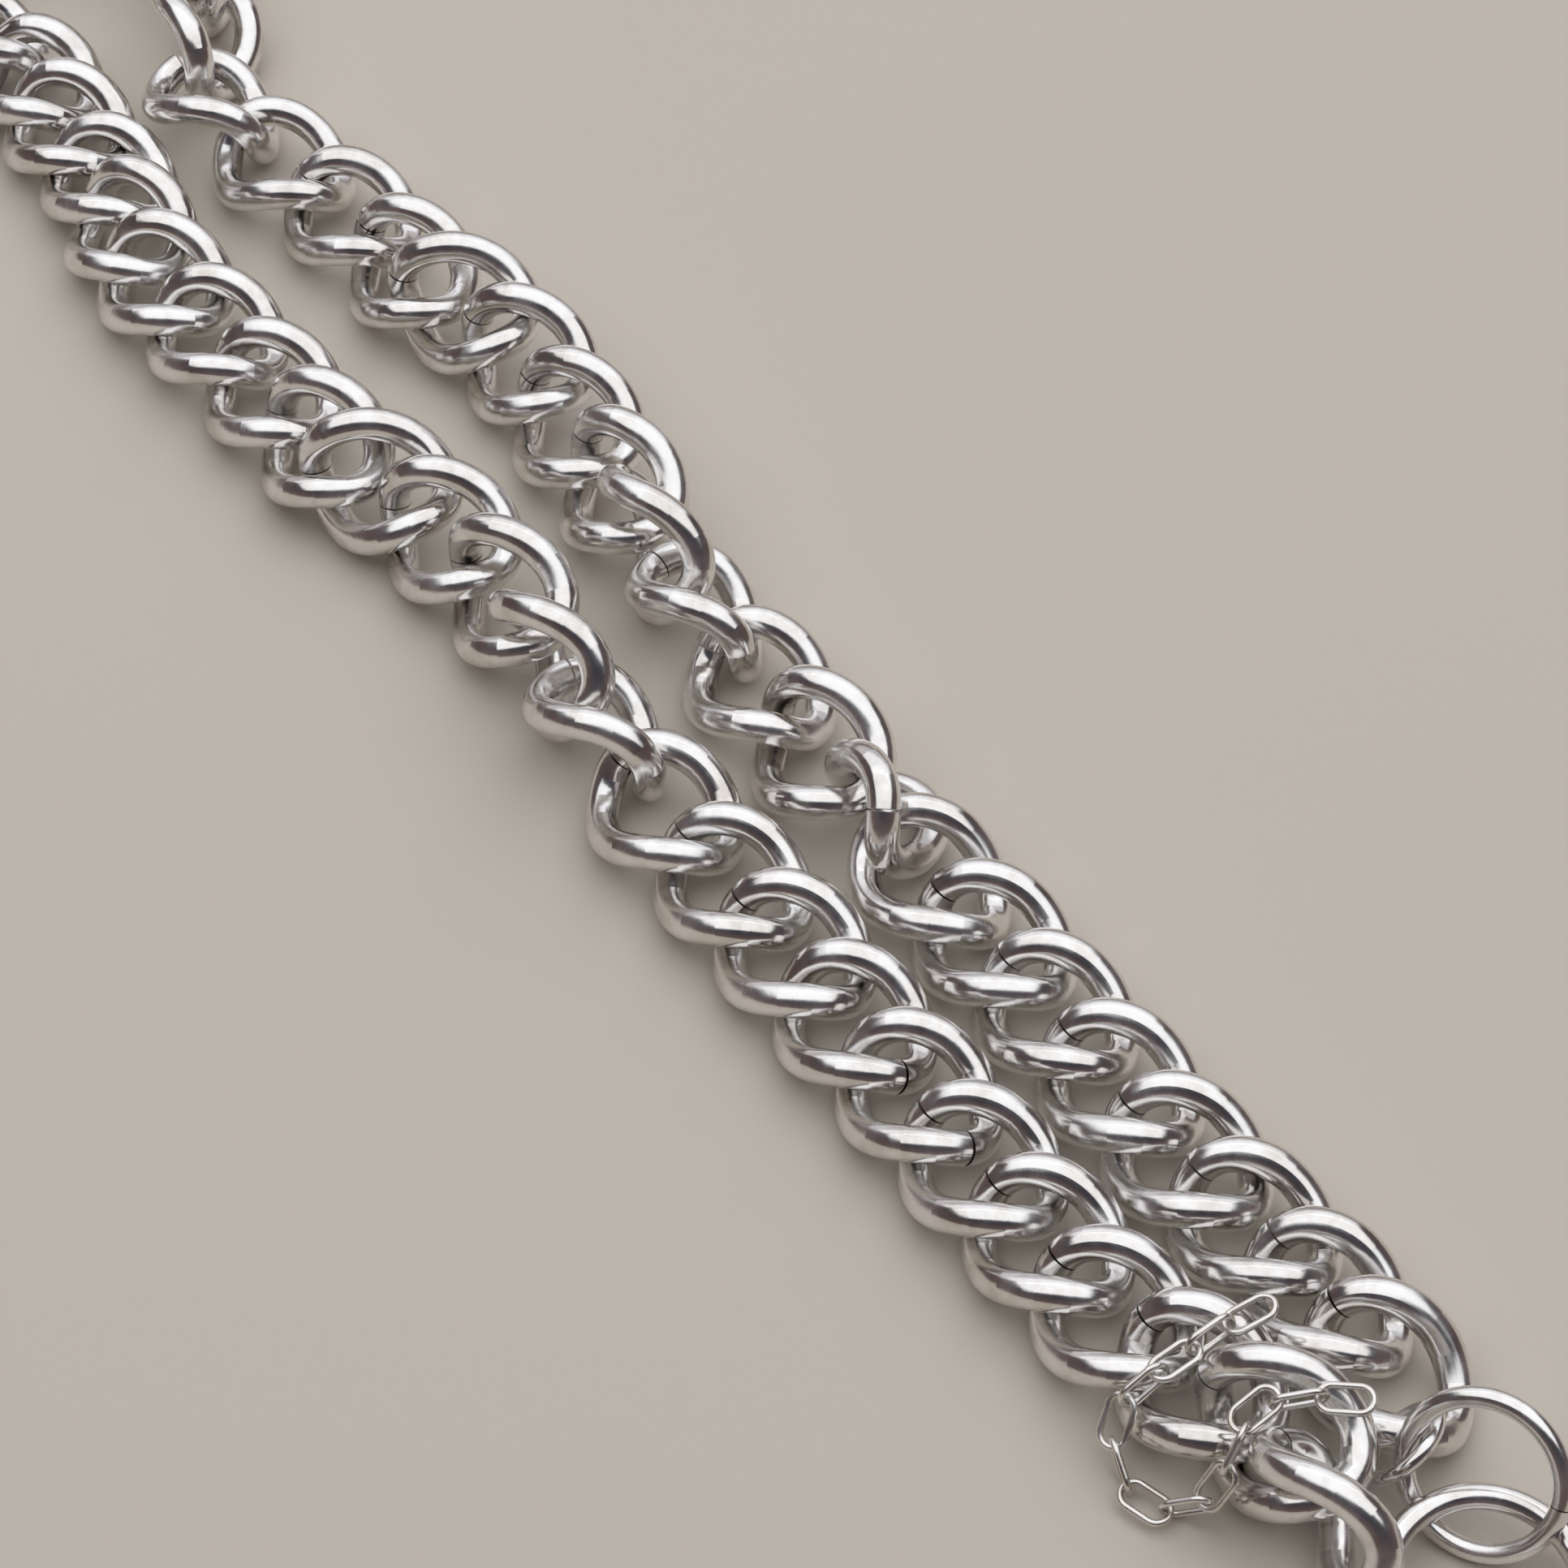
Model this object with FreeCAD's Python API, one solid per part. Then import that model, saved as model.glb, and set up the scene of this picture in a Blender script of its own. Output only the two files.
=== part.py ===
import FreeCAD
import Part
import math
import os

# Silver curb-chain bracelet laid down double. Millimetres, +X along the two runs towards the clasp,
# +Y from the left run to the right run, +Z up from the surface it lies on.

# ---- curb links
WIRE_D = 1.30
LINK_LENGTH = 7.15
LINK_WIDTH = 5.85
LINK_TWIST = 86.0
LINK_SEAM_GAP = 0.10
LINK_SEAM_PLACE = 190.0
LINK_NEST = 0.73
LINK_CLEARANCE = 0.07
RUN_GAP = 0.60

# ---- jump ring and connector ring, each an open ring of round wire
JUMP_WIRE = 0.52
JUMP_RING_D = 3.60
CONNECTOR_WIRE = 0.74
CONNECTOR_RING_D = 6.24
RING_SEAM_GAP = 0.04
RING_CLEARANCE = 0.05

# ---- bolt ring: a bent tube with a sprung bolt that closes its mouth
BOLT_RING_D = 7.70
TUBE_D = 0.94
TUBE_WALL = 0.14
MOUTH_WIDTH = 2.10
BOLT_CLEARANCE = 0.05
BOLT_TIP_DEPTH = 0.30
BOLT_TAIL = 1.10
BOLT_OVERTRAVEL = 0.10
TRIGGER_D = 0.34
TRIGGER_KNOB_D = 0.62
TRIGGER_RISE = 0.36
TRIGGER_SETBACK = 0.20
SPRING_WIRE = 0.10
SPRING_COIL_GAP = 0.015
SPRING_TURNS = 6

# ---- safety chain
TRACE_WIRE = 0.24
TRACE_LENGTH = 2.10
TRACE_WIDTH = 1.20
TRACE_PLAY = 0.12
TRACE_CLEARANCE = 0.03

LINK_PITCH = LINK_LENGTH - 2 * WIRE_D - LINK_NEST
RUN_SPACING = LINK_WIDTH + RUN_GAP
MIDDLE_Y = -1.7

# Left run: link number from the fold, place along the run in link pitches, sideways from the run's line.
LEFT_LINKS = 24
LEFT_PLACES = [
    (0, -12.83, -0.2), (2, -10.92, -0.6), (3, -10.16, -1.6), (4, -9.21, -1.8), (7, -5.99, -1.1),
    (9, -4.29, -0.1), (10, -3.09, 0.4), (11, -2.07, -0.1), (14, 1.18, 0.1), (18, 5.24, 0.3),
    (20, 7.23, 0.5),
]
RIGHT_LINKS = 21
RIGHT_PLACES = [
    (0, -11.2, -1.9), (1, -10.0, -0.6), (3, -7.77, 0.8), (5, -5.89, 1.1), (6, -4.82, 0.9),
    (8, -2.77, 0.2), (11, 0.16, -0.3), (14, 3.17, 0.0), (17, 6.2, 0.0), (18, 7.15, 0.3),
]
# Fold, from the left run round to the right run: millimetres along and sideways from its last left link.
FOLD_STEP = 3.7
FOLD_HEADINGS = [200.0, 163.0, 120.0, 78.0, 38.0, 2.0, -20.0, -34.0]
FOLD_ROLLS = [15.0, 38.0, 58.0, 76.0, 92.0, 104.0, 114.0, 128.0]

# How a link lies: roll about its own length, turn in plan, dip of its nose, all in degrees.
REGULAR = (9.0, 4.0, 0.0)
LEFT_SPECIAL = {
    2: (5.0, 14.0, 0.0), 3: (20.0, 2.0, 0.0), 4: (14.0, 2.0, 0.0), 6: (16.0, 0.0, 0.0),
    7: (30.0, -8.0, 0.0), 8: (42.0, 20.0, 0.0), 9: (38.0, 0.0, 0.0), 10: (48.0, -2.0, 0.0),
    11: (90.0, 0.0, 0.0), 12: (136.0, 0.0, 0.0),
}
RIGHT_SPECIAL = {
    0: (152.0, -10.0, 0.0), 1: (186.0, 0.0, 0.0), 2: (192.0, 0.0, 0.0), 3: (208.0, -8.0, 0.0),
    4: (224.0, 22.0, 0.0), 5: (218.0, 6.0, 0.0), 6: (212.0, 0.0, 0.0), 7: (222.0, -4.0, 0.0),
    8: (268.0, -6.0, 10.0), 9: (320.0, 0.0, 0.0), 11: (389.0, -8.0, -2.0), 13: (543.8, 7.3, 9.1),
}

# One link of the right run stands up on its end, and the last links of both lie heaped. Link number: place
# along the run in link pitches, sideways and height of its middle in mm, then roll, turn and dip in degrees.
LEFT_HEAP = {
    21: (8.23, 1.1, 1.9, 194.0, 0.0, -1.0), 22: (9.06, 1.9, 2.4, 222.0, 10.0, -1.0),
    23: (9.98, 1.2, 2.9, 283.0, -7.0, 0.0),
}
RIGHT_HEAP = {
    12: (1.51, 0.18, 2.0, 131.0, -38.5, -37.7), 19: (8.12, 0.6, 1.5, 183.0, 2.0, 2.0),
    20: (9.0, 0.4, 1.5, 189.0, 1.0, 7.0),
}
# Links fitted the other way round, whose seam is half way round the link from the others' place.
REVERSED_LINKS = ("left_link_07", "left_link_08", "right_link_13")

# Clasp rings: centre from the middle of the last right link, facing direction, turn of seam or mouth.
JUMP_RING_PLACE = ((2.7, -1.4, 0.3), (-0.7, -0.37, 0.62), 200.0)
CONNECTOR_RING_PLACE = ((5.5, -0.4, 1.2), (0.35, -0.78, 0.51), 30.0)
BOLT_RING_PLACE = ((8.4, -2.4, -0.4), (0.17, -0.05, 0.98), 230.0)

# Course of the safety chain over the heap: place in link pitches, sideways from the middle, height.
TRACE_ROUTE = [
    (9.29, 1.2, 4.1), (9.24, -0.2, 4.6), (9.17, -1.0, 4.6), (9.22, -1.9, 5.2), (9.19, -3.0, 2.8),
    (9.2, -4.0, 1.6), (8.89, -4.7, 0.9), (8.52, -5.2, 0.9), (8.33, -5.5, 0.9), (8.28, -5.2, 2.1),
    (8.39, -4.4, 3.4), (8.51, -3.1, 4.5), (8.52, -1.5, 3.9), (8.26, -0.5, 3.7), (7.97, 0.9, 3.0),
]
# Most that the safety chain bends from link to link, and roll of its first link, in degrees.
TRACE_BEND = 28.0
TRACE_ROLL = -10.0

# ---- settling, where loose pieces are eased apart and the safety chain sinks onto the heap
SETTLE_ROUNDS = 600
SETTLE_PUSH = 1.1
SETTLE_NUDGE = 0.004
SINK_STEPS = 360
SINK_BY = 0.02
HOLD_TO_COURSE = 0.02
LOOK_EVERY = 12
LOOK_AROUND = 2.2
REST_HEIGHT = 0.85
LIFT_SHARE = 0.7
PULL_ROUNDS = 12

# Slight differences in how neighbouring links lie, in degrees, and how they vary along a run.
WOBBLE_TURN = 1.5
WOBBLE_ROLL = 2.0
WOBBLE_RATE = 2.3


def vec(x, y, z):
    """Point or direction in space."""
    return FreeCAD.Vector(x, y, z)


def turned(yaw, pitch, roll):
    """Rotation that rolls a link about its length, dips its nose, then turns it in plan."""
    spin = FreeCAD.Rotation(vec(1, 0, 0), roll)
    nod = FreeCAD.Rotation(vec(0, 1, 0), pitch)
    return FreeCAD.Rotation(vec(0, 0, 1), yaw).multiply(nod).multiply(spin)


def link_point(angle):
    """Point of a curb link's wire line: an oval twisted about its long axis."""
    half_length = (LINK_LENGTH - WIRE_D) / 2
    half_width = (LINK_WIDTH - WIRE_D) / 2
    twist = -math.radians(LINK_TWIST) / 2 * math.cos(angle)
    aside = half_width * math.sin(angle)
    return vec(half_length * math.cos(angle), aside * math.cos(twist), aside * math.sin(twist))


def link_tangent(angle):
    """Direction of a curb link's wire line."""
    step = 1e-4
    return (link_point(angle + step) - link_point(angle - step)).normalize()


def arc_through(start, corner, end):
    """Arc tangent to start-corner and corner-end, whose two legs are equally long."""
    middle = (start + end) * 0.5
    turn = math.atan2((corner - middle).Length, (end - start).Length / 2)
    rise = math.tan(turn / 2) / math.tan(turn)
    return Part.Arc(start, middle + (corner - middle) * rise, end).toShape()


def two_arcs(start, start_way, end, end_way):
    """Two arcs in space that leave start and reach end in the given directions."""
    chord = end - start
    ways = start_way + end_way
    bend = 2 * (1 - start_way.dot(end_way))
    along = chord.dot(ways)
    leg = (math.sqrt(along * along + bend * chord.dot(chord)) - along) / bend
    first = start + start_way * leg
    second = end - end_way * leg
    joint = (first + second) * 0.5
    return [arc_through(start, first, joint), arc_through(joint, second, end)]


def swept_wire(edges, start, way, diameter):
    """Round wire along a chain of edges."""
    section = Part.Wire([Part.Circle(start, way, diameter / 2).toShape()])
    return Part.Wire(edges).makePipeShell([section], True, True)


def curb_link(seam_place):
    """One curb link, bent from round wire, with the butt seam where its ends meet."""
    span_count = 8
    mean_radius = (LINK_LENGTH + LINK_WIDTH) / 4 - WIRE_D / 2
    half_gap = LINK_SEAM_GAP / mean_radius / 2
    first = math.radians(seam_place) + half_gap
    last = math.radians(seam_place) + 2 * math.pi - half_gap
    angles = [first + (last - first) * i / span_count for i in range(span_count + 1)]
    edges = []
    for a, b in zip(angles, angles[1:]):
        edges += two_arcs(link_point(a), link_tangent(a), link_point(b), link_tangent(b))
    return swept_wire(edges, link_point(first), link_tangent(first), WIRE_D)


def ring_sector(ring_d, wire, start, sweep):
    """Stretch of a ring of round wire about the Z axis, from an angle start through sweep degrees."""
    mean = (ring_d - wire) / 2
    section = Part.Face(Part.Wire([Part.Circle(vec(mean, 0, 0), vec(0, 1, 0), wire / 2).toShape()]))
    sector = section.revolve(vec(0, 0, 0), vec(0, 0, 1), sweep)
    sector.rotate(vec(0, 0, 0), vec(0, 0, 1), start)
    return sector


def degrees_along(length, ring_d, wire):
    """Angle at a ring's centre that a length along its wire line takes."""
    return math.degrees(length / ((ring_d - wire) / 2))


def open_ring(ring_d, wire):
    """Ring of round wire with its butt seam at angle 0."""
    gap = degrees_along(RING_SEAM_GAP, ring_d, wire)
    return ring_sector(ring_d, wire, gap / 2, 360 - gap)


def bolt_angles():
    """Angles round the bolt ring, from the middle of its mouth towards the trigger."""
    along = lambda length: degrees_along(length, BOLT_RING_D, TUBE_D)
    mouth = along(MOUTH_WIDTH) / 2
    travel = along(MOUTH_WIDTH + BOLT_TIP_DEPTH + BOLT_OVERTRAVEL)
    trigger = mouth + along(TRIGGER_SETBACK + TRIGGER_D / 2)
    tail = mouth + along(BOLT_TAIL)
    spring = tail + travel + along(BOLT_CLEARANCE)
    stop = spring + along((SPRING_TURNS + 1) * (SPRING_WIRE + SPRING_COIL_GAP))
    return mouth, travel, trigger, tail, spring, stop


def bolt_ring_tube():
    """The ring's tube: bored for the bolt from the mouth to the spring's stop, slotted for the trigger."""
    mouth, travel, trigger, tail, spring, stop = bolt_angles()
    tube = ring_sector(BOLT_RING_D, TUBE_D, mouth, 360 - 2 * mouth)
    bore_d = TUBE_D - 2 * TUBE_WALL
    centre_d = BOLT_RING_D - TUBE_D
    bore = ring_sector(centre_d + bore_d, bore_d, mouth - 1, stop - mouth + 1)
    socket = degrees_along(BOLT_TIP_DEPTH + BOLT_CLEARANCE, BOLT_RING_D, TUBE_D)
    tip_bore = ring_sector(centre_d + bore_d, bore_d, -mouth - socket, socket + 1)
    half_slot = TRIGGER_D / 2 + BOLT_CLEARANCE
    slot_end = degrees_along(half_slot, BOLT_RING_D, TUBE_D)
    inner = centre_d / 2
    corners = [vec(inner, 0, -half_slot), vec(inner + TUBE_D, 0, -half_slot),
               vec(inner + TUBE_D, 0, half_slot), vec(inner, 0, half_slot)]
    section = Part.Face(Part.makePolygon(corners + corners[:1]))
    slot = section.revolve(vec(0, 0, 0), vec(0, 0, 1), travel + 2 * slot_end)
    slot.rotate(vec(0, 0, 0), vec(0, 0, 1), trigger - slot_end)
    return tube.cut(bore).cut(tip_bore).cut(slot)


def bolt():
    """Bent rod that closes the mouth, with the trigger that draws it back standing out of the slot."""
    mouth, travel, trigger, tail, spring, stop = bolt_angles()
    tip = degrees_along(BOLT_TIP_DEPTH, BOLT_RING_D, TUBE_D)
    rod_d = TUBE_D - 2 * TUBE_WALL - 2 * BOLT_CLEARANCE
    centre_d = BOLT_RING_D - TUBE_D
    rod = ring_sector(centre_d + rod_d, rod_d, -mouth - tip, mouth + tip + tail)
    foot = centre_d / 2
    top = BOLT_RING_D / 2 + TRIGGER_RISE
    stem = Part.makeCylinder(TRIGGER_D / 2, top - foot, vec(foot, 0, 0), vec(1, 0, 0))
    knob = Part.makeSphere(TRIGGER_KNOB_D / 2, vec(top, 0, 0))
    for piece in (stem, knob):
        piece.rotate(vec(0, 0, 0), vec(0, 0, 1), trigger)
        rod = rod.fuse(piece)
    return rod.removeSplitter()


def bolt_spring():
    """Closed-up coil spring between the bolt's full travel and its stop in the bore."""
    mouth, travel, trigger, tail, spring, stop = bolt_angles()
    pitch = degrees_along(SPRING_WIRE + SPRING_COIL_GAP, BOLT_RING_D, TUBE_D)
    first = math.radians(spring + pitch / 2)
    mean = (BOLT_RING_D - TUBE_D) / 2
    coil = TUBE_D / 2 - TUBE_WALL - BOLT_CLEARANCE - SPRING_WIRE / 2

    def spot(turn):
        round_ring = first + math.radians(pitch) * turn
        round_coil = 2 * math.pi * turn
        reach = mean + coil * math.cos(round_coil)
        return vec(reach * math.cos(round_ring), reach * math.sin(round_ring), coil * math.sin(round_coil))

    def way(turn):
        return (spot(turn + 1e-4) - spot(turn - 1e-4)).normalize()

    span_count = 5 * SPRING_TURNS
    turns = [SPRING_TURNS * i / span_count for i in range(span_count + 1)]
    edges = []
    for a, b in zip(turns, turns[1:]):
        edges += two_arcs(spot(a), way(a), spot(b), way(b))
    return swept_wire(edges, spot(turns[0]), way(turns[0]), SPRING_WIRE)


def trace_link():
    """One oval link of the safety chain, its length along X."""
    half_straight = (TRACE_LENGTH - TRACE_WIDTH) / 2
    side = (TRACE_WIDTH - TRACE_WIRE) / 2
    shape = None
    for end in (1, -1):
        bow = ring_sector(TRACE_WIDTH, TRACE_WIRE, -90 * end, 180)
        bow.translate(vec(end * half_straight, 0, 0))
        corner = vec(-half_straight, end * side, 0)
        bar = Part.makeCylinder(TRACE_WIRE / 2, 2 * half_straight, corner, vec(1, 0, 0))
        shape = bow.fuse(bar) if shape is None else shape.fuse(bow).fuse(bar)
    return shape.removeSplitter()


def between(places, number):
    """Straight interpolation in a list of (number, along, aside)."""
    for (n0, a0, s0), (n1, a1, s1) in zip(places, places[1:]):
        if n0 <= number <= n1:
            share = (number - n0) / (n1 - n0)
            return a0 + (a1 - a0) * share, s0 + (s1 - s0) * share
    raise ValueError(number)


def run_link(side, places, number, special, heap, half_turns):
    """Place and attitude of one link of a run; the roll grows by half a turn after each full twist."""
    line = MIDDLE_Y + side * RUN_SPACING / 2
    if number in heap:
        along, aside, height, roll, turn, dip = heap[number]
        return vec(along * LINK_PITCH, line + aside, height), turned(turn, dip, roll)
    along, aside = between(places, number)
    before = between(places, max(number - 1, places[0][0]))
    after = between(places, min(number + 1, places[-1][0]))
    run = vec((after[0] - before[0]) * LINK_PITCH, after[1] - before[1], 0)
    roll, turn, dip = special.get(number, REGULAR)
    if number not in special:
        roll += 180.0 * sum(number > twist for twist in half_turns)
    wobble = math.sin(WOBBLE_RATE * number + side)
    heading = math.degrees(math.atan2(run.y, run.x))
    spot = vec(along * LINK_PITCH, line + aside, 0.0)
    return spot, turned(heading + turn + WOBBLE_TURN * wobble, dip, roll + WOBBLE_ROLL * wobble)


def fold_links(start):
    """Links that carry the chain round from the left run to the right run."""
    places = []
    spot = start
    last = 180.0
    for heading, roll in zip(FOLD_HEADINGS, FOLD_ROLLS):
        way = math.radians((heading + last) / 2)
        spot = spot + vec(math.cos(way), math.sin(way), 0) * FOLD_STEP
        spot.z = 0
        places.append((spot, turned(heading, 0.0, roll)))
        last = heading
    return places


def chain_layout():
    """All curb links from the bolt-ring end of the left run, round the fold, to the jump ring."""
    links = []
    for number in reversed(range(LEFT_LINKS)):
        spot, turn = run_link(-1, LEFT_PLACES, number, LEFT_SPECIAL, LEFT_HEAP, [12])
        links.append(("left_link_%02d" % (LEFT_LINKS - number), spot, turn))
    for i, (spot, turn) in enumerate(fold_links(links[-1][1])):
        links.append(("fold_link_%d" % (i + 1), spot, turn))
    for number in range(RIGHT_LINKS):
        spot, turn = run_link(1, RIGHT_PLACES, number, RIGHT_SPECIAL, RIGHT_HEAP, [0, 8, 12])
        links.append(("right_link_%02d" % (number + 1), spot, turn))
    return [list(column) for column in zip(*links)]


def nearest(line_a, line_b):
    """Closest pair of two closed wire lines given as lists of points."""
    every_count = 3
    best = (1e9, None, None)
    coarse_a = range(0, len(line_a), every_count)
    coarse_b = range(0, len(line_b), every_count)
    seeds = []
    for i in coarse_a:
        ax, ay, az = line_a[i]
        for j in coarse_b:
            bx, by, bz = line_b[j]
            seeds.append(((bx - ax) ** 2 + (by - ay) ** 2 + (bz - az) ** 2, i, j))
    seeds.sort()
    for _, i0, j0 in seeds[:4]:
        for di in range(1 - every_count, every_count):
            ax, ay, az = line_a[(i0 + di) % len(line_a)]
            for dj in range(1 - every_count, every_count):
                bx, by, bz = line_b[(j0 + dj) % len(line_b)]
                gap = (bx - ax) ** 2 + (by - ay) ** 2 + (bz - az) ** 2
                if gap < best[0]:
                    best = (gap, vec(ax, ay, az), vec(bx, by, bz))
    return math.sqrt(best[0]), best[1], best[2]


def link_line(turn, count=60):
    """Points of a turned curb link's wire line."""
    return [turn.multVec(link_point(2 * math.pi * i / count)) for i in range(count)]


def ring_line(mean_radius, turn, count=72):
    """Points of a turned ring's wire line."""
    angles = [2 * math.pi * i / count for i in range(count)]
    return [turn.multVec(vec(math.cos(a), math.sin(a), 0) * mean_radius) for a in angles]


def oval_line(turn, count=60):
    """Evenly spaced points of a safety-chain link's wire line."""
    straight = TRACE_LENGTH - TRACE_WIDTH
    radius = (TRACE_WIDTH - TRACE_WIRE) / 2
    half = straight + math.pi * radius
    line = []
    for i in range(count // 2):
        along = half * i / (count // 2)
        if along < straight:
            point = vec(along - straight / 2, -radius, 0)
        else:
            angle = (along - straight) / radius
            point = vec(straight / 2 + radius * math.sin(angle), -radius * math.cos(angle), 0)
        line += [point, point * -1]
    line = line[::2] + line[1::2]
    return [turn.multVec(p) for p in line]


def piece_at(line, radius, clearance, spot):
    """What settling needs to know of a piece of round wire."""
    low = min(p.z for p in line)
    spot = vec(spot.x, spot.y, max(spot.z, radius - low))
    return {"line": line, "radius": radius, "clear": clearance, "low": low, "spot": spot,
            "reach": max(p.Length for p in line)}


def wire_points(piece):
    """Points of a piece's wire line where it now lies."""
    return [tuple(p + piece["spot"]) for p in piece["line"]]


def settle(pieces):
    """Moves pieces apart, the thinner one further, until no wires touch and none is in the surface."""
    placed = [wire_points(piece) for piece in pieces]
    dirty = set(range(len(pieces)))
    for _ in range(SETTLE_ROUNDS):
        moved = set()
        for k, one in enumerate(pieces):
            for m in range(k + 1, len(pieces)):
                other = pieces[m]
                if k not in dirty and m not in dirty:
                    continue
                wanted = one["radius"] + other["radius"] + max(one["clear"], other["clear"])
                if (one["spot"] - other["spot"]).Length > one["reach"] + other["reach"] + wanted:
                    continue
                gap, on_one, on_other = nearest(placed[k], placed[m])
                if gap >= wanted:
                    continue
                share = one["radius"] / (one["radius"] + other["radius"])
                push = (on_other - on_one).normalize() * ((wanted - gap) * SETTLE_PUSH + SETTLE_NUDGE)
                one["spot"] = one["spot"] - push * (1 - share)
                other["spot"] = other["spot"] + push * share
                for n in (k, m):
                    piece = pieces[n]
                    piece["spot"].z = max(piece["radius"] - piece["low"], piece["spot"].z)
                    moved.add(n)
                    placed[n] = wire_points(piece)
        if not moved:
            return
        dirty = moved


def ring_turn(normal, spin):
    """Turns a ring about the Z axis to face along normal, its seam or mouth at the angle spin."""
    return FreeCAD.Rotation(vec(0, 0, 1), vec(*normal)).multiply(FreeCAD.Rotation(vec(0, 0, 1), spin))


def clasp_rings(last_link):
    """Turn and settling piece of jump ring, connector ring and bolt ring."""
    sizes = [(JUMP_RING_D, JUMP_WIRE), (CONNECTOR_RING_D, CONNECTOR_WIRE), (BOLT_RING_D, TUBE_D)]
    places = [JUMP_RING_PLACE, CONNECTOR_RING_PLACE, BOLT_RING_PLACE]
    rings = []
    for (ring_d, wire), (offset, normal, spin) in zip(sizes, places):
        turn = ring_turn(normal, spin)
        line = ring_line((ring_d - wire) / 2, turn)
        rings.append((turn, piece_at(line, wire / 2, RING_CLEARANCE, last_link + vec(*offset))))
    return rings


def pulled(points, pitch, closest):
    """Evens out a row of points: neighbours one pitch apart, next-but-one no nearer than closest."""
    for i in range(len(points) - 1):
        way = points[i + 1] - points[i]
        shift = way * ((way.Length - pitch) / way.Length / 2)
        points[i] = points[i] + shift
        points[i + 1] = points[i + 1] - shift
    for i in range(len(points) - 2):
        way = points[i + 2] - points[i]
        if way.Length < closest:
            shift = way * ((closest - way.Length) / way.Length / 2)
            points[i] = points[i] - shift
            points[i + 2] = points[i + 2] + shift


def drape(wires):
    """Middles of the safety chain's links, sunk along their course until they rest on the wires."""
    pitch = TRACE_LENGTH - 2 * TRACE_WIRE - TRACE_PLAY
    closest = 2 * pitch * math.cos(math.radians(TRACE_BEND / 2))
    room = TRACE_WIDTH / 2 * REST_HEIGHT
    course = [vec(along * LINK_PITCH, MIDDLE_Y + aside, height) for along, aside, height in TRACE_ROUTE]
    points = [course[0]]
    for a, b in zip(course, course[1:]):
        while (b - points[-1]).Length > pitch:
            points.append(points[-1] + (b - points[-1]).normalize() * pitch)
    home = list(points)
    near = []
    for sinking in range(SINK_STEPS):
        for i, point in enumerate(points):
            back = (home[i] - point) * HOLD_TO_COURSE
            points[i] = point + vec(back.x, back.y, -SINK_BY)
        if sinking % LOOK_EVERY == 0:
            near = [[w for w in wires if (w[0] - p).Length < w[1] + LOOK_AROUND] for p in points]
        for i in range(len(points)):
            for centre, radius in near[i]:
                way = points[i] - centre
                lack = radius + room - way.Length
                if lack > 0:
                    points[i] = points[i] + way * (lack / way.Length * LIFT_SHARE)
            points[i].z = max(points[i].z, room)
        for _ in range(PULL_ROUNDS):
            pulled(points, pitch, closest)
    return points


def trace_pieces(wires):
    """Turn and settling piece of every safety-chain link, each a quarter turn round from the one before."""
    points = drape(wires)
    links = []
    for i, point in enumerate(points):
        way = points[min(i + 1, len(points) - 1)] - points[max(i - 1, 0)]
        across = vec(0, 0, 1).cross(way)
        lie = FreeCAD.Rotation(way, across, vec(0, 0, 0), "XYZ")
        turn = lie.multiply(FreeCAD.Rotation(vec(1, 0, 0), TRACE_ROLL + 90 * (i % 2)))
        links.append((turn, piece_at(oval_line(turn), TRACE_WIRE / 2, TRACE_CLEARANCE, point)))
    return links


def assembly():
    """Turn and settled piece of every curb link, ring and safety-chain link, centred over the origin."""
    names, spots, turns = chain_layout()
    pieces = [piece_at(link_line(t), WIRE_D / 2, LINK_CLEARANCE, s) for s, t in zip(spots, turns)]
    rings = clasp_rings(spots[-1])
    pieces += [piece for turn, piece in rings]
    settle(pieces)
    wires = []
    for piece in pieces:
        wires += [(vec(*p), piece["radius"]) for p in wire_points(piece)[::2]]
    trace = trace_pieces(wires)
    pieces += [piece for turn, piece in trace]
    settle(pieces)
    names += ["jump_ring", "connector_ring", "bolt_ring"]
    names += ["safety_link_%d" % (i + 1) for i in range(len(trace))]
    turns += [turn for turn, piece in rings + trace]
    for axis in ("x", "y"):
        ends = []
        for piece in pieces:
            along = [getattr(p, axis) for p in piece["line"]]
            middle = getattr(piece["spot"], axis)
            ends += [middle + min(along) - piece["radius"], middle + max(along) + piece["radius"]]
        for piece in pieces:
            setattr(piece["spot"], axis, getattr(piece["spot"], axis) - (min(ends) + max(ends)) / 2)
    return names, turns, pieces


def main():
    """Builds every piece where it lies and writes one STEP file for each."""
    os.makedirs("parts", exist_ok=True)
    shapes = {"jump_ring": open_ring(JUMP_RING_D, JUMP_WIRE),
              "connector_ring": open_ring(CONNECTOR_RING_D, CONNECTOR_WIRE)}
    link = curb_link(LINK_SEAM_PLACE)
    for name in REVERSED_LINKS:
        shapes[name] = curb_link(LINK_SEAM_PLACE + 180)
    small_link = trace_link()
    solids = {}
    safety = []
    for name, turn, piece in zip(*assembly()):
        place = FreeCAD.Placement(piece["spot"], turn)
        if name == "bolt_ring":
            for make in (bolt_ring_tube, bolt, bolt_spring):
                solids[make.__name__] = make()
                solids[make.__name__].Placement = place
        elif name.startswith("safety_link"):
            safety.append(small_link.copy())
            safety[-1].Placement = place
        else:
            solids[name] = shapes.get(name, link).copy()
            solids[name].Placement = place
    solids["safety_chain"] = Part.makeCompound(safety)
    for name, solid in solids.items():
        solid.exportStep("parts/%s.step" % name)


if __name__ == "__main__":
    main()
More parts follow.
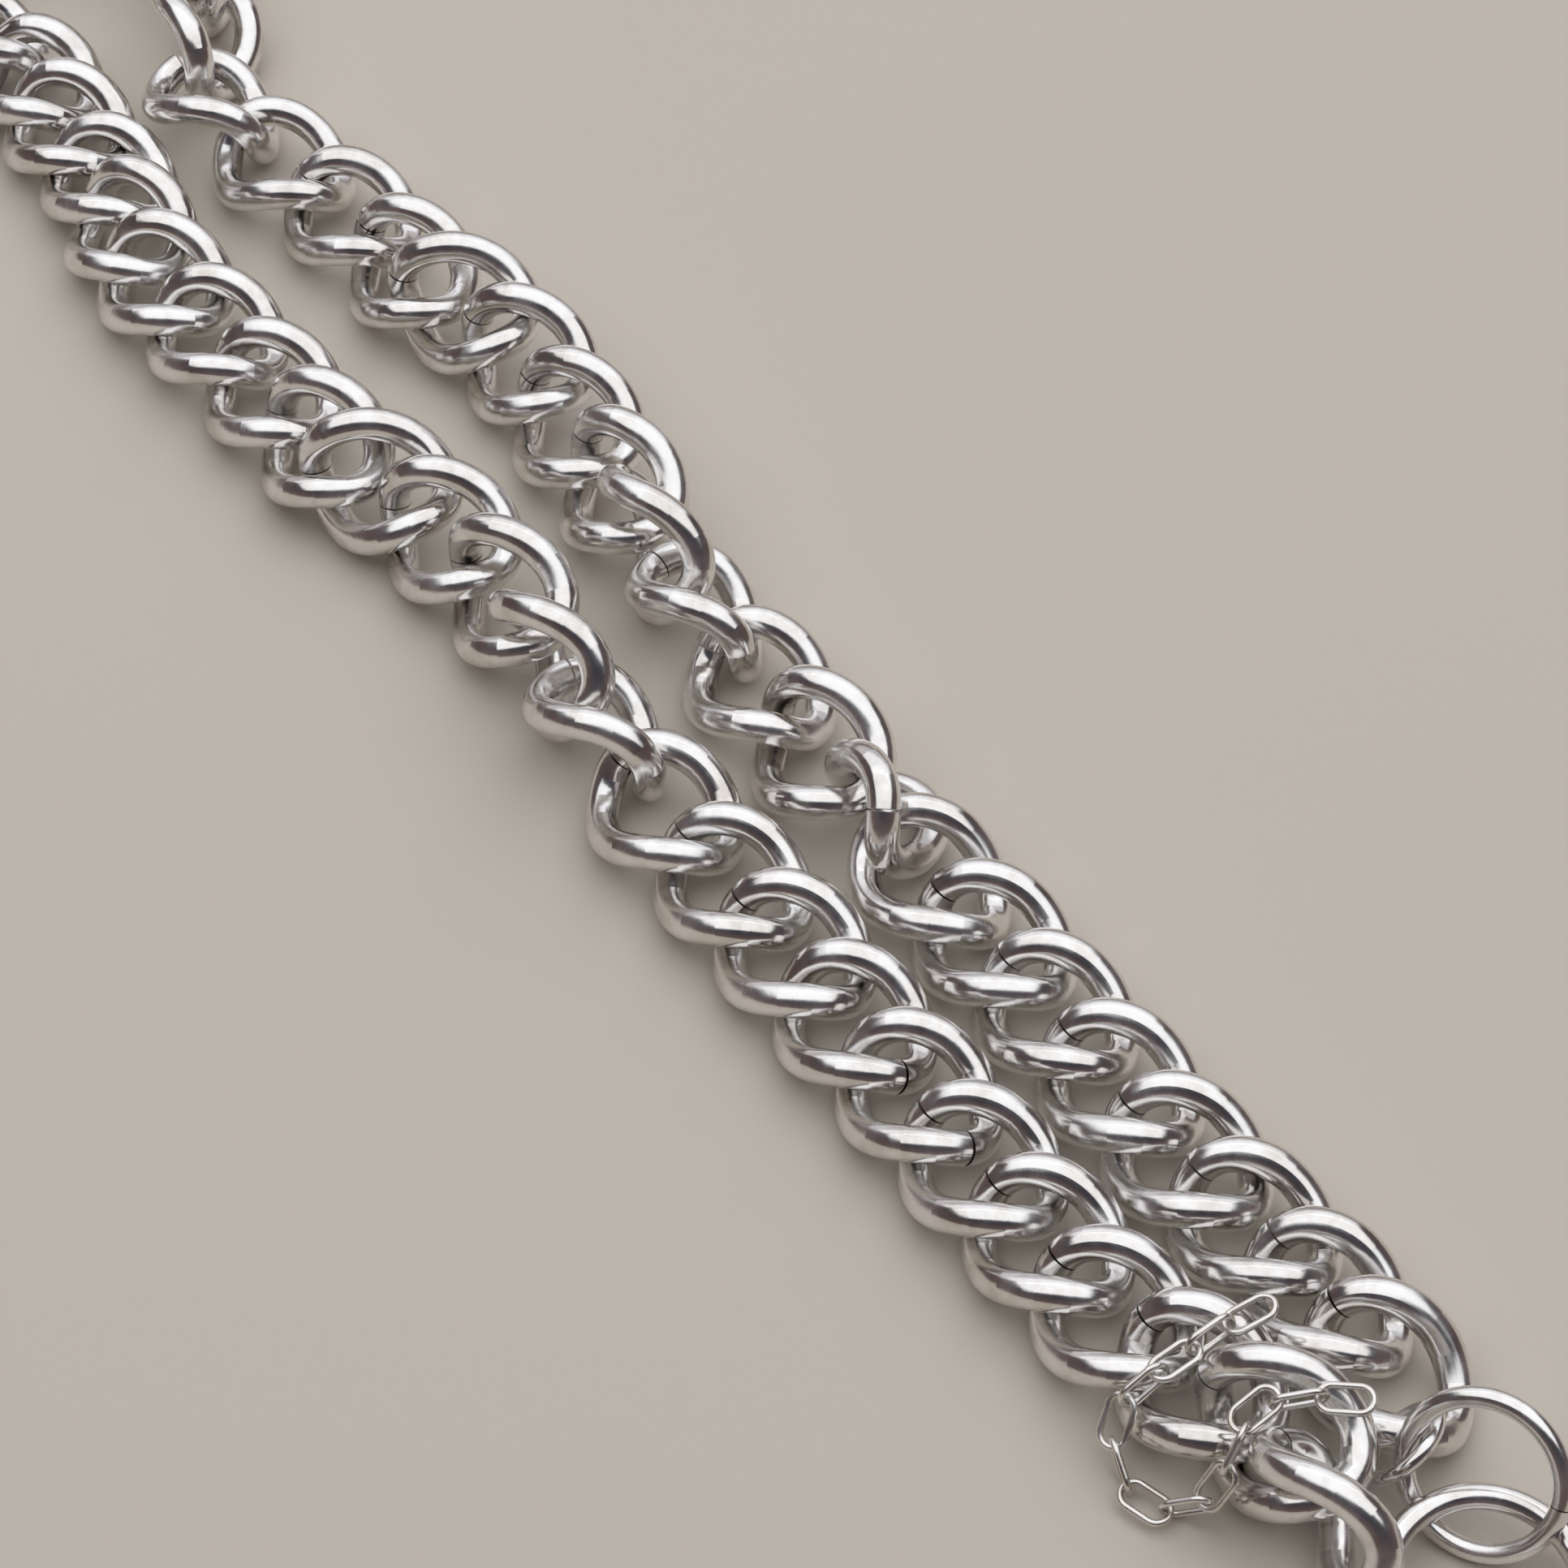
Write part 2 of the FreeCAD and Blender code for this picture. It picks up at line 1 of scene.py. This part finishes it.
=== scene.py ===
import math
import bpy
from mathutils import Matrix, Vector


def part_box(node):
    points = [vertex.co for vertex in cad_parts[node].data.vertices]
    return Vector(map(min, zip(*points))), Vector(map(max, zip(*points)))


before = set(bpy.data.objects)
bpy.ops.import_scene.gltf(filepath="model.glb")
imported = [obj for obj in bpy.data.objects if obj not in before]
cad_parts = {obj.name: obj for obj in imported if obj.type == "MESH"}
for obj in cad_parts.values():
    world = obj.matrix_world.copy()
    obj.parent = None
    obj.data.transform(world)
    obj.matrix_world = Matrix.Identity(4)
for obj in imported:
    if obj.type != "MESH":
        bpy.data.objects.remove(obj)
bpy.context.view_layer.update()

# %% [markdown]
# This scene dresses a silver curb-chain bracelet that lies double on a pale surface. On the real
# bracelet every link is a bent round wire. The links could be made again here, as curves with a
# bevel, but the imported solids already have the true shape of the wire. So they stay as they are,
# and the work goes into the silver: how it was polished, how it has been worn, what it reflects.

MM = 0.001
names = sorted(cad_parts)
print("pieces from the frame:", len(names))

# %% [markdown]
# Colours are picked as hex values on a screen, and those are not proportional to light. Shaders
# want linear values. Each colour could be typed in linear form, which is hard to read, so one
# function turns a hex colour into linear red, green and blue.

# %% Colours
def linear(hex_colour):
    """sRGB hex such as 'C0C0C0' as linear RGBA."""
    channels = [int(hex_colour[i:i + 2], 16) / 255 for i in (0, 2, 4)]
    light = [c / 12.92 if c <= 0.04045 else ((c + 0.055) / 1.055) ** 2.4 for c in channels]
    return (*light, 1.0)


print("mid grey is", round(linear("808080")[0], 3))

# %% [markdown]
# Every material below is a small network of nodes. They could be placed and linked by hand in the
# shader editor, but a script has to say each step. One function adds a node, sets its properties
# and inputs, and links what comes from other nodes, so that a network takes a few lines.

# %% Node helper
def node(tree, kind, settings=None, **inputs):
    """Adds a node; inputs are values, or sockets to link. A key such as i1 is input number 1."""
    made = tree.nodes.new(kind)
    for name, value in (settings or {}).items():
        setattr(made, name, value)
    for key, value in inputs.items():
        by_number = key[0] == "i" and key[1:].isdigit()
        socket = made.inputs[int(key[1:]) if by_number else key.replace("_", " ")]
        if isinstance(value, bpy.types.NodeSocket):
            tree.links.new(value, socket)
        else:
            socket.default_value = value
    return made


def ramp(tree, factor, *stops):
    """Colour ramp from (place, hex) stops."""
    made = node(tree, "ShaderNodeValToRGB", i0=factor)
    elements = made.color_ramp.elements
    while len(elements) < len(stops):
        elements.new(0.5)
    for element, (place, colour) in zip(elements, stops):
        element.position = place
        element.color = linear(colour)
    return made.outputs[0]


def new_material(name, **inputs):
    """Empty material, its Principled shader and a reading of the piece's own coordinates."""
    material = bpy.data.materials.new(name)
    material.use_nodes = True
    tree = material.node_tree
    tree.nodes.clear()
    shader = node(tree, "ShaderNodeBsdfPrincipled", **inputs)
    node(tree, "ShaderNodeOutputMaterial", i0=shader.outputs[0])
    place = node(tree, "ShaderNodeTexCoord").outputs["Object"]
    return material, tree, shader, place


print("node helper ready")

# %% [markdown]
# The real chain was buffed to a mirror and then worn. Hair-fine scratches run across it every way,
# and they show most where the light catches them. They could come from a photograph laid over the
# wire, which would stretch and show seams on a twisted link. Noise that is squeezed along one
# direction makes streaks instead, and it has no seams. Three sets that point different ways are
# added up.

# %% Scratches
SCRATCHES_PER_METRE = 1200.0
# Turn of each set in radians, and how many times longer than wide its streaks are.
SCRATCH_SETS = ((0.5, 18.0), (2.1, 22.0), (1.2, 14.0))


def scratches(tree, place):
    """Streaks of all sets, added up."""
    total = 0.0
    for turn, stretch in SCRATCH_SETS:
        squeezed = node(tree, "ShaderNodeMapping", i0=place, Rotation=(turn, turn / 2, turn),
                        Scale=(1, stretch, 1)).outputs[0]
        streaks = node(tree, "ShaderNodeTexNoise", Vector=squeezed, Scale=SCRATCHES_PER_METRE,
                       Detail=3.0, Roughness=0.7).outputs[0]
        total = node(tree, "ShaderNodeMath", {"operation": "ADD"},
                     i0=total, i1=streaks).outputs[0]
    return total


print("sets of scratches:", len(SCRATCH_SETS))

# %% [markdown]
# Links rub on one another, so polished silver has soft duller patches and shallow dents. They could
# be sculpted link by link. A larger noise does the same for all the links at once: it raises the
# roughness in patches and tints them a little, and another one tilts the surface very slightly,
# which bends the reflections. The base colour stays nearly white and only slightly warm.

# %% Polished sterling silver
RUB = 1.6 * MM
RUB_DULLS = 0.16
RUB_STARTS, RUB_FULL = 0.42, 0.72
SCRATCHES_DULL = 0.05
SCRATCH_DEPTH = 0.01 * MM
SCRATCH_TILT = 0.10
DENT = 2.4 * MM
DENT_DEPTH = 0.08 * MM


def polished_silver(name, bright, shade, roughness, dents):
    """Buffed silver of two near colours, with scratches, rubbed patches and shallow dents."""
    material, tree, shader, place = new_material(name, Metallic=1.0)
    patches = node(tree, "ShaderNodeTexNoise", Vector=place, Scale=1 / RUB,
                   Detail=5.0, Roughness=0.6).outputs[0]
    hair = scratches(tree, place)
    dull = node(tree, "ShaderNodeMapRange", Value=patches, i1=RUB_STARTS, i2=RUB_FULL,
                i3=roughness, i4=roughness + RUB_DULLS).outputs[0]
    worn = node(tree, "ShaderNodeMath", {"operation": "MULTIPLY_ADD"},
                i0=hair, i1=SCRATCHES_DULL, i2=dull).outputs[0]
    tree.links.new(worn, shader.inputs["Roughness"])
    tint = ramp(tree, patches, (0.30, shade), (0.56, bright), (1.0, bright))
    tree.links.new(tint, shader.inputs["Base Color"])
    hollows = node(tree, "ShaderNodeTexNoise", Vector=place, Scale=1 / DENT, Detail=2.0).outputs[0]
    soft = node(tree, "ShaderNodeBump", Strength=dents, Distance=DENT_DEPTH,
                Height=hollows).outputs[0]
    fine = node(tree, "ShaderNodeBump", Strength=SCRATCH_TILT, Distance=SCRATCH_DEPTH,
                Height=hair, Normal=soft).outputs[0]
    tree.links.new(fine, shader.inputs["Normal"])
    return material


curb_silver = polished_silver("polished_silver_curb", "EFEEED", "D3CEC8",
                              roughness=0.08, dents=0.30)
clasp_silver = polished_silver("polished_silver_clasp", "F0EFEE", "D9D5D0",
                               roughness=0.07, dents=0.12)
wire_silver = polished_silver("fine_silver_wire", "ECEAE6", "D2CBC0",
                              roughness=0.16, dents=0.10)
print("silver ready")

# %% [markdown]
# The bolt's coil spring is drawn steel wire, greyer and duller than silver. It hardly shows, so one
# noise that varies its grey is enough.

# %% Spring steel
GRAIN = 0.3 * MM


def drawn_steel():
    """Grey drawn wire."""
    material, tree, shader, place = new_material("drawn_spring_steel", Metallic=1.0, Roughness=0.32)
    grain = node(tree, "ShaderNodeTexNoise", Vector=place, Scale=1 / GRAIN, Detail=4.0).outputs[0]
    grey = ramp(tree, grain, (0.3, "7C7C7E"), (0.7, "9A9A9B"))
    tree.links.new(grey, shader.inputs["Base Color"])
    return material


spring_steel = drawn_steel()
print("steel ready")

# %% [markdown]
# On the real bracelet all the silver is one alloy, but the pieces are finished apart: the links are
# tumbled together and dented, the clasp is buffed, and the fine safety chain stays duller. The
# finish could be chosen piece by piece. The names of the pieces already say what they are, so the
# finish follows from the name, in the material slots that each piece came with.

# %% Finishes on the pieces
FINISHES = {"safety_chain": wire_silver, "bolt_spring": spring_steel}
for name in names:
    finish = FINISHES.get(name, curb_silver if "_link_" in name else clasp_silver)
    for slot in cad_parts[name].material_slots:
        slot.material = finish
print("finished", len(names), "pieces")

# %% [markdown]
# The bracelet lies on a plain pale surface. Its colour matters more than usual, because the silver
# mirrors it: the undersides of the wire are warm where they look down on it. One large plane is
# enough, wide enough that its edge shows in no reflection.

# %% Floor
FLOOR_SIZE = 3.0


def pale_floor():
    """Large plain pale surface under the bracelet; metres."""
    bpy.ops.mesh.primitive_plane_add(size=FLOOR_SIZE, location=(0, 0, 0))
    floor = bpy.context.object
    floor.name = "floor"
    material = new_material("pale_floor", Base_Color=linear("D9D1C5"), Roughness=0.85,
                            Specular_IOR_Level=0.2)[0]
    floor.data.materials.append(material)


pale_floor()
print("floor laid")

# %% [markdown]
# Silver has hardly a colour of its own. Each wire shows a white band where it mirrors the light
# overhead, a narrow dark one where it mirrors the room, and the colour of the floor below that. One
# small lamp would only give it points of light. So a bright panel hangs overhead, and two more let
# the light fade towards the far side. A panel is given by its radiance, which is what its mirror
# image shows, and its power follows from its area. The panels are turned to the line of sight.

# %% Panels of light
SIGHT = Vector((0.5330, -0.3595, 0.7660))
SIGHT_TURN = math.atan2(SIGHT.y, SIGHT.x)


def soft_lamp(name, towards_camera, height, size, tilt, radiance, colour):
    """Panel above the line of sight, tilted to the far side by an angle in degrees; metres."""
    lamp = bpy.data.lights.new(name, "AREA")
    lamp.shape = "RECTANGLE"
    lamp.size, lamp.size_y = size
    lamp.energy = radiance * math.pi * lamp.size * lamp.size_y
    lamp.color = linear(colour)[:3]
    holder = bpy.data.objects.new(name, lamp)
    bpy.context.scene.collection.objects.link(holder)
    across = math.cos(SIGHT_TURN) * towards_camera, math.sin(SIGHT_TURN) * towards_camera
    holder.location = (*across, height)
    holder.rotation_euler = (0, math.radians(-tilt), SIGHT_TURN)


soft_lamp("overhead", towards_camera=0.01, height=0.50, size=(0.62, 1.20), tilt=0,
          radiance=1.08, colour="FFFFFF")
soft_lamp("beyond", towards_camera=-0.44, height=0.46, size=(0.34, 1.20), tilt=44,
          radiance=1.00, colour="FBFCFF")
soft_lamp("far", towards_camera=-0.64, height=0.25, size=(0.28, 1.20), tilt=69,
          radiance=0.52, colour="F4F6FA")

# %% [markdown]
# The dark band on each wire is the room. A room could be built and lit, but only its colour shows,
# so the world round the scene is given one that changes with height: brownish near the horizon and
# dark slate above.

# %% Room
ROOM_STRENGTH = 0.8


def dim_room():
    """World whose colour goes with the height that it is seen at."""
    world = bpy.data.worlds.new("dim_room")
    bpy.context.scene.world = world
    world.use_nodes = True
    tree = world.node_tree
    way = node(tree, "ShaderNodeTexCoord").outputs["Generated"]
    up = node(tree, "ShaderNodeSeparateXYZ", i0=way).outputs["Z"]
    walls = ramp(tree, up, (0.0, "6E5F5B"), (0.30, "68595A"), (0.62, "47474F"), (1.0, "55555C"))
    background = tree.nodes["Background"]
    tree.links.new(walls, background.inputs["Color"])
    background.inputs["Strength"].default_value = ROOM_STRENGTH


dim_room()
print("room ready")

# %% [markdown]
# The photograph looks down at 50 degrees through a long lens, which keeps the far links nearly as
# large as the near ones. The camera could be placed by eye. It is placed instead from a link that
# both the photograph and the frame show, so that it follows the chain if the chain is moved.

# %% Camera
SIGHT_LINK = "left_link_15"
AIM_FROM_LINK = Vector((16.38, 4.89, 0)) * MM
DISTANCE = 175.3 * MM
LENS = 106.0
SENSOR = 36.0
CLIP_START, CLIP_END = 0.01, 10.0

low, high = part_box(SIGHT_LINK)
aim = (Vector(low) + Vector(high)) / 2 + AIM_FROM_LINK
aim.z = 0
camera_data = bpy.data.cameras.new("camera")
camera_data.lens = LENS
camera_data.sensor_width = SENSOR
camera_data.clip_start = CLIP_START
camera_data.clip_end = CLIP_END
camera = bpy.data.objects.new("camera", camera_data)
bpy.context.scene.collection.objects.link(camera)
camera.location = aim + SIGHT.normalized() * DISTANCE
camera.rotation_euler = (-SIGHT).to_track_quat("-Z", "Y").to_euler()
bpy.context.scene.camera = camera
bpy.context.scene.view_settings.view_transform = "Standard"
print("camera at", [round(c / MM, 1) for c in camera.location], "mm")
